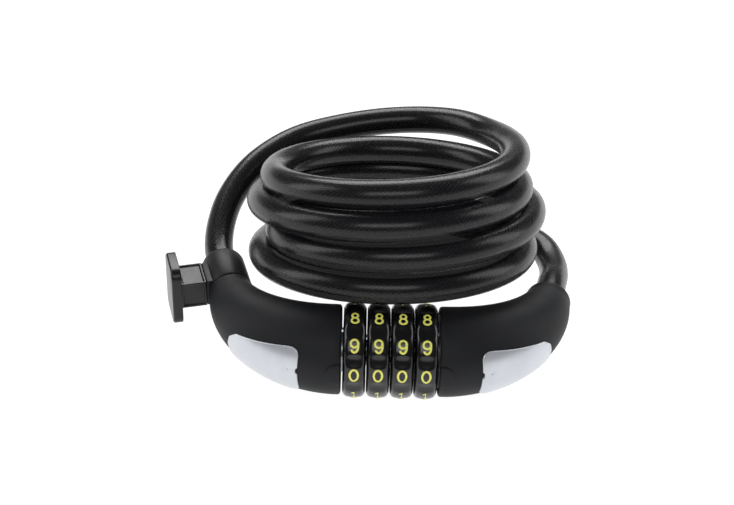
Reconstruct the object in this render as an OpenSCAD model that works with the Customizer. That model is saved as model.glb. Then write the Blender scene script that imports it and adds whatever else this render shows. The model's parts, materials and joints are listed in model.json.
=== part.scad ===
// Bicycle cable lock: a four-wheel combination head between two curved arms,
// a coiled steel cable sleeved in smoky plastic, and a collar with a T-slide
// that hangs the lock on a frame bracket.
// +X runs along the wheel axis, +Y towards the coil and +Z up; z = 0 is the floor.

/* [Cable] */
// Outside diameter of the sleeved cable
cable_d = 12; // [11.8:0.1:12]

/* [Number wheels] */
// Outside diameter of a number wheel
wheel_d = 37.2; // [36.8:0.1:37.4]
// Width of a number wheel
wheel_w = 8.8; // [8.6:0.1:8.9]
// Distance from one wheel to the next
wheel_pitch = 9.1; // [9:0.05:9.2]
// Height of the wheel's code row above the horizontal, in degrees
code_row_tilt = 5; // [0:1:10]

/* [Arms] */
// Outside radius of an arm beside the wheels
arm_r0 = 17.5; // [17:0.1:17.8]
// Outside radius of an arm where the cable leaves it
arm_r1 = 9.2; // [9:0.1:9.6]
// Radius of the bend of an arm's centreline
arm_bend_r = 46; // [45:0.5:47]
// Angle through which an arm turns back
arm_turn = 75; // [74:1:76]
// Wall thickness of an arm's cover
arm_wall = 2.2; // [1.8:0.1:2.4]

/* [Bracket slide] */
// Outside radius of the collar on the cable
collar_r = 9; // [8.4:0.1:9.2]
// Length of the collar
collar_l = 20; // [19:0.5:21]
// Width of the T-slide's flange, along the collar
flange_w = 19.2; // [18:0.2:20]
// Height of the T-slide's flange
flange_h = 26; // [24:0.2:26.4]
// Thickness of the T-slide's flange
flange_t = 4; // [3.4:0.1:4.4]
// Width of the T-slide's stem, along the collar
stem_w = 14.6; // [14:0.2:16]
// Height of the T-slide's stem
stem_h = 11.4; // [10:0.2:12]
// Length of the T-slide's stem, from the collar's pad to the flange
stem_l = 10.3; // [10:0.1:12]

/* [Coil] */
// Inside radius of the coiled turns
coil_r_in = 42; // [41:0.5:44]
// Outside radius of the coiled turns
coil_r_out = 60.4; // [58:0.1:60.5]
// Height of the stack of turns along its own axis
coil_h = 55.4; // [52:0.2:55.6]
// Backward lean of the stack of turns
coil_tilt = 18.75; // [18:0.25:19]

/* [Hidden] */
$fn = 64;

wheel_r = wheel_d / 2;
wheel_count = 4;
// Centre of the wheel stack, seen from the middle of the head's footprint
head_origin = [9.8, -20.1, wheel_r];

// Row of wheels and its inner mechanism, with X measured from the stack's middle
digit_step = 360 / 10;
groove_r = 4.2;
groove_depth = 0.8;
rim_round = 2.6;
ring_r = 9.5;
ring_w = 8.6;
recess_l = 2.9;
recess_r = 8.1;
tube_r = 6;
tube_bore_r = 3.6;
tube_clearance = 0.04;
slot_w = 2.8;
gate_w = 3;
tooth_r = 7.6;
tooth_w = 2.5;
tooth_l = 2.2;
tooth_gap = 0.4;
pin_r = 3.5;
pin_tip = -22;
leaf_r = 4.9;
leaf_w = 2.7;
leaf_t = 0.5;
stack_end = wheel_pitch * (wheel_count - 1) / 2 + wheel_w / 2;
tube_end = 20.5;
tube_root = -27;

// Arms: the face beside the wheels, the straight start and the end where the cable leaves
arm_face = 18.7;
arm_bend_x = 19.5;
arm_taper = 1.75;
arm_tail = 3;
arm_steps = 12;
arm_sides = 28;
arm_bend_end = arm_xy(arm_turn);
exit_dir = [cos(arm_turn), sin(arm_turn)];
exit_xy = arm_bend_end + arm_tail * exit_dir;
exit_angle = 90 - arm_turn;
mouth_r = cable_d / 2 + 0.2;

// Silver inlay: angles along the arm's bend and around its section
inlay_from = 14.2;
inlay_to = 46.5;
inlay_low = -50;
inlay_high = 30;
inlay_gap = 0.05;
inlay_proud = 0.75;
inlay_steps = 8;
inlay_cells = 14;

// Cores, ferrules and anchor pins, measured inwards from the arm's cable end
core_r = 14.2;
core_end = 26.5;
fork_gap = 6;
fork_t = 3;
fork_half = 5;
anchor_r = 1.5;
anchor_at = 21;
anchor_l = 12.8;
ferrule_r = 7.2;
ferrule_from = 8;
ferrule_to = 17.4;
cable_stop = 16;

// Collar and T-slide, in the frame of the left arm's cable end
collar_gap = 0.3;
collar_bore_r = cable_d / 2 + 0.15;
pad_x = 9.6;
slide_y = collar_gap + collar_l / 2 - 2.4;

// Middle of the coil, and the cable's route outside it, as X, Y and height above the floor
coil_middle = [2, 70.2, 44.2];
lead_route = [
    [-60.6, 21.5, 18.6], [-64.7, 37, 18.6], [-67.2, 46.5, 18.6], [-70.2, 57.6, 18.6],
    [-72.2, 66.5, 20.5], [-72.3, 77, 24.4], [-69.3, 91, 30.1], [-61.6, 105, 36.2],
    [-52, 115, 40.2], [-40.6, 123, 43], [-22.6, 128, 46.2], [-3.8, 129.5, 49.1],
    [14.4, 127.5, 51.5], [28.9, 120, 54.5], [40.8, 107, 57.6]
];
tail_route = [
    [69.6, 72, 13.7], [69.5, 61, 15], [67.2, 49, 17.6], [64.7, 37, 18.6], [60.6, 21.5, 18.6]
];
cord_sides = 10;

// ---------- shared geometry ----------

// Point of a right arm's centreline after a turn of a degrees
function arm_xy(a) = [arm_bend_x + arm_bend_r * sin(a), arm_bend_r * (1 - cos(a))];

// Outside radius of an arm after a turn of a degrees
function arm_r(a) = arm_r0 - (arm_r0 - arm_r1) * pow(a / arm_turn, arm_taper);

// Point on a section at [x, y] that heads a degrees from +X, b degrees above its outer side
function section_point(xy, a, r, b) = [
    xy[0] + r * cos(b) * sin(a),
    xy[1] - r * cos(b) * cos(a),
    r * sin(b)
];

// Full round section of a right arm
function section(xy, a, r) = [
    for (j = [0 : arm_sides - 1]) section_point(xy, a, r, 360 * j / arm_sides)
];

// Unit vector of v
function unit(v) = v / norm(v);

// Heading of a route at its point i
function heading(route, i) = unit(
    route[min(i + 1, len(route) - 1)] - route[max(i - 1, 0)]
);

// Round section of a cord at point i of its route
function cord_ring(route, i) =
    let (t = heading(route, i), side = unit(cross(t, [0, 0, 1])), up = cross(side, t))
    [
        for (j = [0 : cord_sides - 1])
        let (b = 360 * j / cord_sides)
        route[i] + cable_d / 2 * (cos(b) * side + sin(b) * up)
    ];

// Quads between ring i and ring k of n points each
function band(i, k, n) = [
    for (j = [0 : n - 1]) [i * n + j, i * n + (j + 1) % n, k * n + (j + 1) % n, k * n + j]
];

// Solid skinned over rings of equal length, capped at both ends
module skin(rings) {
    n = len(rings[0]);
    last = len(rings) - 1;
    sides = [for (i = [0 : last - 1]) each band(i, i + 1, n)];
    near_cap = [for (j = [n - 1 : -1 : 0]) j];
    far_cap = [for (j = [0 : n - 1]) last * n + j];
    polyhedron(points = [for (r = rings) each r], faces = concat(sides, [near_cap, far_cap]));
}

// Hollow solid whose last ring joins its first
module hollow_skin(rings) {
    n = len(rings[0]);
    count = len(rings);
    sides = [for (i = [0 : count - 1]) each band(i, (i + 1) % count, n)];
    polyhedron(points = [for (r = rings) each r], faces = sides);
}

// Children moved from the wheel stack's middle to the row's own frame
module at_head() {
    translate(head_origin) children();
}

// Children built around +Z and laid along the wheel axis
module along_x(x = 0) {
    translate([x, 0, 0]) rotate([0, 90, 0]) children();
}

// Children placed at the left arm's cable end, with +Y along the cable and -X outwards
module at_left_exit() {
    translate([-exit_xy[0], exit_xy[1], 0]) rotate([0, 0, exit_angle]) children();
}

// Children placed at the right arm's cable end, with +Y along the cable and +X outwards
module at_right_exit() {
    translate([exit_xy[0], exit_xy[1], 0]) rotate([0, 0, -exit_angle]) children();
}

// Rectangle with round corners, centred
module rounded_rect(w, h, r) {
    union() {
        square([w - 2 * r, h], center = true);
        square([w, h - 2 * r], center = true);
        for (sx = [-1, 1], sy = [-1, 1])
            translate([sx * (w / 2 - r), sy * (h / 2 - r)]) circle(r, $fn = 32);
    }
}

// ---------- arms ----------

// Hollow cover of the right arm
module arm_cover() {
    rim = [[0, 1.5], [0.4, 0.4]];
    outer = concat(
        [for (e = rim) section([arm_face + e[0], 0], 0, arm_r0 - e[1])],
        [for (i = [0 : arm_steps]) let (a = arm_turn * i / arm_steps) section(arm_xy(a), a, arm_r(a))],
        [section(exit_xy, arm_turn, arm_r1)]
    );
    inner = concat(
        [section(exit_xy, arm_turn, mouth_r)],
        [
            for (i = [arm_steps : -1 : 0])
            let (a = arm_turn * i / arm_steps)
            section(arm_xy(a), a, arm_r(a) - arm_wall)
        ],
        [section([arm_face, 0], 0, arm_r0 - arm_wall)]
    );
    hollow_skin(concat(outer, inner));
}

// Silver plate on the outside of the right arm's bend
module arm_inlay() {
    function edge(a, r, from, to) = [
        for (j = [0 : inlay_cells])
        section_point(arm_xy(a), a, r, from + (to - from) * j / inlay_cells)
    ];
    skin([
        for (i = [0 : inlay_steps])
        let (a = inlay_from + (inlay_to - inlay_from) * i / inlay_steps)
        concat(
            edge(a, arm_r(a) + inlay_proud, inlay_low, inlay_high),
            edge(a, arm_r(a) + inlay_gap, inlay_high, inlay_low)
        )
    ]);
}

// Cast block behind the right arm's wheel face, with a fork that holds the anchor pin
module arm_core() {
    anchor = exit_xy - anchor_at * exit_dir;
    fork_from = 3;
    fork_to = 52;
    fork_cells = 6;
    outer_side = [
        for (i = [0 : fork_cells])
        let (a = fork_from + (fork_to - fork_from) * i / fork_cells)
        arm_xy(a) + fork_half * [sin(a), -cos(a)]
    ];
    inner_side = [
        for (i = [fork_cells : -1 : 0])
        let (a = fork_from + (fork_to - fork_from) * i / fork_cells)
        arm_xy(a) - fork_half * [sin(a), -cos(a)]
    ];
    eye_r = 3.3;
    difference() {
        union() {
            along_x(arm_face) cylinder(r = core_r, h = core_end - arm_face);
            for (side = [-1, 1])
                translate([0, 0, side * (fork_gap + fork_t) / 2])
                    linear_extrude(fork_t, center = true)
                        union() {
                            polygon(concat(outer_side, inner_side));
                            translate(anchor) circle(eye_r);
                        }
        }
        translate([anchor[0], anchor[1], 0]) cylinder(r = anchor_r, h = 4 * fork_gap, center = true);
    }
}

// Crimped sleeve on a cable's end with a flat eye for the anchor pin, along +Y
module ferrule() {
    tongue_w = 7;
    tongue_t = fork_gap - 0.2;
    eye_r = 3.4;
    difference() {
        union() {
            translate([0, -ferrule_to, 0]) rotate([-90, 0, 0])
                cylinder(r = ferrule_r, h = ferrule_to - ferrule_from);
            translate([-tongue_w / 2, -anchor_at, -tongue_t / 2])
                cube([tongue_w, anchor_at - ferrule_to + 0.1, tongue_t]);
            translate([0, -anchor_at, 0]) cylinder(r = eye_r, h = tongue_t, center = true);
        }
        translate([0, -cable_stop, 0]) rotate([-90, 0, 0]) cylinder(r = cable_d / 2 + 0.05, h = cable_stop);
        translate([0, -anchor_at, 0]) cylinder(r = anchor_r, h = 2 * fork_gap, center = true);
    }
}

// Straight pin through a ferrule's eye
module anchor_pin() {
    translate([0, -anchor_at, 0]) cylinder(r = anchor_r, h = anchor_l, center = true);
}

module left_arm_cover() {
    color("#2e2f33") at_head() mirror([1, 0, 0]) arm_cover();
}

module right_arm_cover() {
    color("#2e2f33") at_head() arm_cover();
}

module left_arm_inlay() {
    color("#d4d7dd") at_head() mirror([1, 0, 0]) arm_inlay();
}

module right_arm_inlay() {
    color("#d4d7dd") at_head() arm_inlay();
}

// Core of the left arm, bored for the spindle tube
module barrel_core() {
    color("#8d9094") at_head() difference() {
        mirror([1, 0, 0]) arm_core();
        along_x(tube_root) cylinder(r = tube_r, h = -tube_root);
    }
}

// Core of the right arm, with the socket for the tube's end and the lock pin's seat
module plug_core() {
    socket_r = 8.8;
    socket_end = 22;
    color("#8d9094") at_head() difference() {
        arm_core();
        along_x(arm_face - 1) cylinder(r = socket_r, h = socket_end - arm_face + 1);
        along_x(socket_end - 1) cylinder(r = pin_r, h = core_end - socket_end + 2);
    }
}

module left_ferrule() {
    color("#b9bbbe") at_head() at_left_exit() ferrule();
}

module right_ferrule() {
    color("#b9bbbe") at_head() at_right_exit() ferrule();
}

module left_anchor_pin() {
    color("#c9cacc") at_head() at_left_exit() anchor_pin();
}

module right_anchor_pin() {
    color("#c9cacc") at_head() at_right_exit() anchor_pin();
}

// ---------- combination mechanism ----------

// Middle of wheel i, counted from 1 on the left
function wheel_x(i) = (i - (wheel_count + 1) / 2) * wheel_pitch;

// Half of a wheel's section from its bore to its crowned rim, as radius and width
module wheel_section() {
    half = wheel_w / 2;
    shoulder_r = wheel_r - 0.25;
    shoulder_w = half - rim_round;
    corner = [for (b = [0 : 15 : 90]) [
        shoulder_r - rim_round + rim_round * sin(b),
        shoulder_w + rim_round * cos(b)
    ]];
    upper = concat([[ring_r, half]], corner, [[wheel_r, 0]]);
    lower = [for (k = [len(upper) - 2 : -1 : 0]) [upper[k][0], -upper[k][1]]];
    polygon(concat(upper, lower));
}

// Number wheel with ten raised pads between finger grooves
module number_wheel(i) {
    groove_x = wheel_r + groove_r - groove_depth;
    color("#1c1d20") at_head() translate([wheel_x(i), 0, 0]) rotate([code_row_tilt, 0, 0]) difference() {
        rotate([0, 90, 0]) rotate_extrude($fn = 96) wheel_section();
        for (k = [0 : 9])
            rotate([(k + 0.5) * digit_step, 0, 0])
                translate([0, -groove_x, 0]) rotate([0, 90, 0])
                    cylinder(r = groove_r, h = 2 * wheel_w, center = true);
    }
}

// Code ring: a hub with a gate for the pin's teeth beside a recess where they rest
module code_ring(i) {
    left = wheel_x(i) - ring_w / 2;
    bore_r = tube_r + tube_clearance;
    notch_r = 0.9;
    color("#c8a55a") at_head() difference() {
        along_x(left) cylinder(r = ring_r, h = ring_w);
        along_x(left - 1) cylinder(r = bore_r, h = ring_w + 2);
        along_x(left - 1) cylinder(r = recess_r, h = recess_l + 1);
        translate([left, -recess_r, -gate_w / 2]) cube([ring_w + 1, recess_r, gate_w]);
        for (k = [0 : 9])
            rotate([k * digit_step, 0, 0])
                translate([left - 1, 0, bore_r]) rotate([0, 90, 0])
                    cylinder(r = notch_r, h = ring_w + 2, $fn = 24);
    }
}

// Slotted tube that the code rings turn on
module spindle_tube() {
    ring_groove_x = stack_end + 0.15;
    ring_groove_l = 1;
    ring_groove_r = 5.5;
    slot_from = -stack_end - 0.3;
    color("#a9acb0") at_head() difference() {
        along_x(tube_root) cylinder(r = tube_r, h = tube_end - tube_root);
        along_x(pin_tip - 2) cylinder(r = tube_bore_r, h = tube_end - pin_tip + 3);
        translate([slot_from, -tube_r - 1, -slot_w / 2])
            cube([tube_end - slot_from + 1, tube_r + 1, slot_w]);
        translate([slot_from, -leaf_w / 2, leaf_r - 0.1]) cube([-2 * slot_from, leaf_w, tube_r]);
        along_x(ring_groove_x) difference() {
            cylinder(r = tube_r + 1, h = ring_groove_l);
            translate([0, 0, -1]) cylinder(r = ring_groove_r, h = ring_groove_l + 2);
        }
    }
}

// Leaf spring in the tube's top channel, with one bump under each code ring
module detent_leaf() {
    bump_r = 3;
    bump_top = tube_r - 0.05;
    leaf_half = stack_end - 0.2;
    color("#9fa3a8") at_head() union() {
        translate([-leaf_half, -leaf_w / 2 + 0.1, leaf_r]) cube([2 * leaf_half, leaf_w - 0.2, leaf_t]);
        for (i = [1 : wheel_count])
            translate([wheel_x(i) + 1.5, 0, 0]) intersection() {
                translate([0, 0, bump_top - bump_r]) rotate([90, 0, 0])
                    cylinder(r = bump_r, h = leaf_w - 0.2, center = true);
                translate([-bump_r, -leaf_w, leaf_r + leaf_t / 2]) cube([2 * bump_r, 2 * leaf_w, 1]);
            }
    }
}

// Thin spring washer that takes up the stack's end play
module wave_washer() {
    washer_r = 8.6;
    washer_from = stack_end + 0.12;
    color("#b4b7bb") at_head() difference() {
        along_x(-arm_face) cylinder(r = washer_r, h = arm_face - washer_from);
        along_x(-arm_face - 1) cylinder(r = tube_r + 0.1, h = 3);
    }
}

// Open ring in the tube's groove that keeps the wheels on
module retaining_ring() {
    ring_from = stack_end + 0.2;
    ring_t = 0.9;
    ring_inner = 5.55;
    ring_outer = 8;
    opening_w = 4.4;
    color("#8f9296") at_head() difference() {
        along_x(ring_from) cylinder(r = ring_outer, h = ring_t);
        along_x(ring_from - 1) cylinder(r = ring_inner, h = ring_t + 2);
        translate([ring_from - 1, -ring_outer - 1, -opening_w / 2])
            cube([ring_t + 2, ring_outer + 1, opening_w]);
    }
}

// Pin on the plug, with one tooth in the recess of each code ring
module lock_pin() {
    color("#b0b3b7") at_head() union() {
        along_x(pin_tip) cylinder(r = pin_r, h = core_end - pin_tip);
        for (i = [1 : wheel_count])
            translate([wheel_x(i) - ring_w / 2 + tooth_gap, -tooth_r, -tooth_w / 2])
                cube([tooth_l, tooth_r, tooth_w]);
    }
}

// ---------- bracket collar ----------

// Collar that turns on the cable behind the left arm, with a flat pad for the slide
module bracket_collar() {
    chamfer = 1.4;
    far = collar_gap + collar_l;
    color("#242528") at_head() at_left_exit() difference() {
        union() {
            rotate([-90, 0, 0]) rotate_extrude() polygon([
                [0, collar_gap], [collar_r - 0.5, collar_gap], [collar_r, collar_gap + 0.5],
                [collar_r, far - chamfer], [collar_r - chamfer, far], [0, far]
            ]);
            translate([-pad_x, slide_y - stem_w / 2, -stem_h / 2]) cube([pad_x, stem_w, stem_h]);
        }
        rotate([-90, 0, 0]) cylinder(r = collar_bore_r, h = 3 * collar_l, center = true);
    }
}

// T-slide: a stem with sunk panels and a flange that runs in the frame bracket
module bracket_slide() {
    panel_depth = 0.6;
    border = 1.4;
    panel_l = stem_l - 2 * border;
    lip = 0.9;
    flange_x = pad_x + stem_l;
    color("#1d1e20") at_head() at_left_exit() translate([0, slide_y, 0]) union() {
        difference() {
            translate([-flange_x, -stem_w / 2, -stem_h / 2]) cube([stem_l, stem_w, stem_h]);
            for (side = [-1, 1]) {
                translate([-pad_x - stem_l / 2, 0, side * (stem_h / 2 - panel_depth / 2 + 0.5)])
                    cube([panel_l, stem_w - 2 * border, panel_depth + 1], center = true);
                translate([-pad_x - stem_l / 2, side * (stem_w / 2 - panel_depth / 2 + 0.5), 0])
                    cube([panel_l, panel_depth + 1, stem_h - 2 * border], center = true);
            }
        }
        translate([-flange_x, 0, 0]) rotate([0, -90, 0]) union() {
            linear_extrude(flange_t - lip) rounded_rect(flange_h, flange_w, 3);
            linear_extrude(flange_t) rounded_rect(flange_h - 2 * lip, flange_w - 2 * lip, 2.4);
        }
    }
}

// ---------- cable ----------

// Uncoiled stretch of cable along a route
module cord(route) {
    skin([for (i = [0 : len(route) - 1]) cord_ring(route, i)]);
}

// Cable from the left arm, round the back of the coil and onto its top turn
module cable_lead() {
    color("#3d3e45") translate([head_origin[0], head_origin[1], 0]) cord(lead_route);
}

// Cable from the foot of the coil into the right arm
module cable_tail() {
    color("#3d3e45") translate([head_origin[0], head_origin[1], 0]) cord(tail_route);
}

// Outer shape of the four stacked turns
module cable_coil() {
    color("#3d3e45") translate([head_origin[0], head_origin[1], 0])
        translate(coil_middle) rotate([-coil_tilt, 0, 0]) rotate_extrude($fn = 96)
            translate([(coil_r_in + coil_r_out) / 2, 0])
                rounded_rect(coil_r_out - coil_r_in, coil_h, cable_d / 2);
}

left_arm_cover();
left_arm_inlay();
barrel_core();
spindle_tube();
detent_leaf();
wave_washer();
retaining_ring();
left_ferrule();
left_anchor_pin();
cable_lead();
cable_coil();
number_wheel(1);  // number_wheel_1
number_wheel(2);  // number_wheel_2
number_wheel(3);  // number_wheel_3
number_wheel(4);  // number_wheel_4
code_ring(1);  // code_ring_1
code_ring(2);  // code_ring_2
code_ring(3);  // code_ring_3
code_ring(4);  // code_ring_4
right_arm_cover();
right_arm_inlay();
plug_core();
lock_pin();
right_ferrule();
right_anchor_pin();
cable_tail();
bracket_collar();
bracket_slide();
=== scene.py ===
"""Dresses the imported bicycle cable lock: cable, arms, number wheels, collar, camera and light."""
import json
import logging
import math
from dataclasses import dataclass, field
from enum import Enum
from typing import Iterable, Sequence

import bmesh
import bpy
from mathutils import Matrix, Quaternion, Vector


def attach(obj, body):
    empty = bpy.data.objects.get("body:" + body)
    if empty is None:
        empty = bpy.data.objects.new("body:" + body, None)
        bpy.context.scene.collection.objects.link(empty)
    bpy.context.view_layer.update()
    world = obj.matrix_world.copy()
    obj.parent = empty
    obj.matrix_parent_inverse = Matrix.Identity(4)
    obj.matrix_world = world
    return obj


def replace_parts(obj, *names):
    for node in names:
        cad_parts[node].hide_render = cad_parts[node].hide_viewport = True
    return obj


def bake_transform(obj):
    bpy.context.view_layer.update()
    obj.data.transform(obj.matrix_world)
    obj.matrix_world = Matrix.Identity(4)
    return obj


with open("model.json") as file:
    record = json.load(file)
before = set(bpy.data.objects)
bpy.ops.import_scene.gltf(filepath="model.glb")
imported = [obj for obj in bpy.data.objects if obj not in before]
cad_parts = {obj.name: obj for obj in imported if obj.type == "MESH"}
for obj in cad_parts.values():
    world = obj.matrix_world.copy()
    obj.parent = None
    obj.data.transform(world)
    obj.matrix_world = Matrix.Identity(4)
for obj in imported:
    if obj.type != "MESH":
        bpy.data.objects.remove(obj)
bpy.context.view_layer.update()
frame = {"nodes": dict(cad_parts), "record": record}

LOG = logging.getLogger("cable_lock")
MM = 0.001
UP = Vector((0.0, 0.0, 1.0))


class Side(Enum):
    """Which arm a piece belongs to, as the sign of its X."""

    LEFT = -1
    RIGHT = 1

    @property
    def body(self) -> str:
        """The CAD body that this arm rides on."""
        return "lock_body" if self is Side.LEFT else "plug"

    @property
    def label(self) -> str:
        """The arm's word in node and piece names."""
        return self.name.lower()


# ---------- places that the frame gives ----------


def joint(name: str) -> dict:
    """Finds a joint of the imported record.

    Args:
        name: The joint's name.

    Returns:
        The joint's entry, with its place and axis.
    """
    return next(j for j in frame["record"]["behaviour"]["joints"] if j["name"] == name)


WHEEL_CENTRES = [Vector(joint(f"wheel_{i}_turn")["pos_m"]) for i in range(1, 5)]
HEAD = sum(WHEEL_CENTRES, Vector()) / len(WHEEL_CENTRES)
HEAD_ON_FLOOR = Vector((HEAD.x, HEAD.y, 0.0))


def on_floor(place: Sequence[float]) -> Vector:
    """Turns millimetres from the floor under the wheels' middle into the frame's metres."""
    return HEAD_ON_FLOOR + Vector(place) * MM


# ---------- mesh helpers ----------


def finish_mesh(
    name: str, bm: bmesh.types.BMesh, finish: bpy.types.Material, sharp: float = 38.0
) -> bpy.types.Object:
    """Turns a bmesh into a smooth-shaded object at the origin.

    Args:
        name: The piece's name.
        bm: The geometry, in the row frame. It is freed.
        finish: The material.
        sharp: The angle in degrees past which an edge stays sharp.

    Returns:
        The linked object.
    """
    bmesh.ops.recalc_face_normals(bm, faces=bm.faces)
    mesh = bpy.data.meshes.new(name)
    bm.to_mesh(mesh)
    bm.free()
    mesh.shade_smooth()
    mesh.set_sharp_from_angle(angle=math.radians(sharp))
    mesh.materials.append(finish)
    piece = bpy.data.objects.new(name, mesh)
    bpy.context.scene.collection.objects.link(piece)
    return piece


def ring_at(centre: Vector, heading: Vector, radius: float) -> Matrix:
    """The transform that lays a unit circle square to a heading.

    Args:
        centre: The section's middle.
        heading: The direction that the section faces.
        radius: The section's radius.

    Returns:
        A matrix for points of a unit circle in the XY plane.
    """
    z = heading.normalized()
    y = UP if abs(z.dot(UP)) < 0.99 else Vector((0.0, 1.0, 0.0))
    x = y.cross(z).normalized()
    y = z.cross(x)
    turn = Matrix((x, y, z)).transposed().to_4x4()
    return Matrix.Translation(centre) @ turn @ Matrix.Scale(radius, 4)


def loft(stations: Sequence[Matrix], segments: int, closed: bool = False) -> bmesh.types.BMesh:
    """Extrudes a circle from station to station.

    Args:
        stations: Transforms of a unit circle, in order.
        segments: The circle's number of sides.
        closed: Whether the last section is joined to the first; otherwise both ends are capped.

    Returns:
        The lofted bmesh.
    """
    bm = bmesh.new()
    made = bmesh.ops.create_circle(bm, segments=segments, radius=1.0, matrix=stations[0])
    first = list({e for v in made["verts"] for e in v.link_edges})
    edges = first
    for before, after in zip(stations, stations[1:]):
        grown = bmesh.ops.extrude_edge_only(bm, edges=edges)["geom"]
        verts = [g for g in grown if isinstance(g, bmesh.types.BMVert)]
        edges = [g for g in grown if isinstance(g, bmesh.types.BMEdge)]
        edges = [e for e in edges if all(v in set(verts) for v in e.verts)]
        bmesh.ops.transform(bm, matrix=after @ before.inverted(), verts=verts)
    if closed:
        bmesh.ops.bridge_loops(bm, edges=first + edges)
    else:
        bmesh.ops.holes_fill(bm, edges=first + edges, sides=0)
    return bm


def lathe(profile: Sequence[tuple[float, float]], steps: int, closed: bool) -> bmesh.types.BMesh:
    """Spins a profile round the X axis.

    Args:
        profile: Points as (place along the axis, radius).
        steps: The number of steps in the full turn.
        closed: Whether the profile's last point is joined to its first.

    Returns:
        The spun bmesh, about the origin.
    """
    bm = bmesh.new()
    verts = [bm.verts.new((x, -r, 0.0)) for x, r in profile]
    pairs = list(zip(verts, verts[1:])) + ([(verts[-1], verts[0])] if closed else [])
    edges = [bm.edges.new(pair) for pair in pairs]
    bmesh.ops.spin(
        bm, geom=verts + edges, cent=(0, 0, 0), axis=(1, 0, 0),
        angle=math.tau, steps=steps, use_merge=True,
    )
    bmesh.ops.remove_doubles(bm, verts=bm.verts, dist=1e-6)
    return bm


def rounded_plate(
    outline: Sequence[tuple[float, float]], corner: float, thickness: float, edge: float,
    cell: float,
) -> bmesh.types.BMesh:
    """Makes a flat plate with round corners, cut into cells so that it can be wrapped.

    Args:
        outline: The plate's corners in its own plane, anticlockwise.
        corner: The corners' radius.
        thickness: The plate's thickness, upwards from z = 0.
        edge: The radius of the upper rim.
        cell: The size of the cells.

    Returns:
        The plate's bmesh.
    """
    bm = bmesh.new()
    face = bm.faces.new([bm.verts.new((x, y, 0.0)) for x, y in outline])
    bmesh.ops.bevel(
        bm, geom=face.verts[:], offset=corner, offset_type="OFFSET", segments=6,
        profile=0.5, affect="VERTICES", material=-1,
    )
    lifted = bmesh.ops.extrude_face_region(bm, geom=bm.faces[:])["geom"]
    top = [g for g in lifted if isinstance(g, bmesh.types.BMFace)]
    bmesh.ops.translate(bm, verts=list({v for f in top for v in f.verts}), vec=(0, 0, thickness))
    bmesh.ops.bevel(
        bm, geom=top[0].edges[:], offset=edge, segments=3, profile=0.5, affect="EDGES", material=-1
    )
    for axis in (0, 1):
        low = min(v.co[axis] for v in bm.verts)
        high = max(v.co[axis] for v in bm.verts)
        normal = Vector((1.0, 0.0, 0.0)) if axis == 0 else Vector((0.0, 1.0, 0.0))
        for k in range(1, int((high - low) / cell)):
            everything = bm.verts[:] + bm.edges[:] + bm.faces[:]
            bmesh.ops.bisect_plane(
                bm, geom=everything, plane_co=normal * (low + k * cell), plane_no=normal
            )
    return bm


def rounded_box(size: Vector, centre: Vector, edge: float, segments: int = 3) -> bmesh.types.BMesh:
    """Makes a box with rounded edges.

    Args:
        size: The box's full size.
        centre: The box's middle.
        edge: The radius of its edges.
        segments: The number of steps in each rounding.

    Returns:
        The box's bmesh.
    """
    bm = bmesh.new()
    matrix = Matrix.Translation(centre) @ Matrix.Diagonal((*size, 1.0))
    bmesh.ops.create_cube(bm, size=1.0, matrix=matrix)
    bmesh.ops.bevel(
        bm, geom=bm.edges[:], offset=edge, segments=segments, profile=0.5,
        affect="EDGES", material=-1,
    )
    return bm


def add_to(target: bmesh.types.BMesh, part: bmesh.types.BMesh) -> None:
    """Adds one bmesh's geometry to another and frees it."""
    mesh = bpy.data.meshes.new("part")
    part.to_mesh(mesh)
    part.free()
    target.from_mesh(mesh)
    bpy.data.meshes.remove(mesh)


# ---------- finishes ----------


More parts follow.
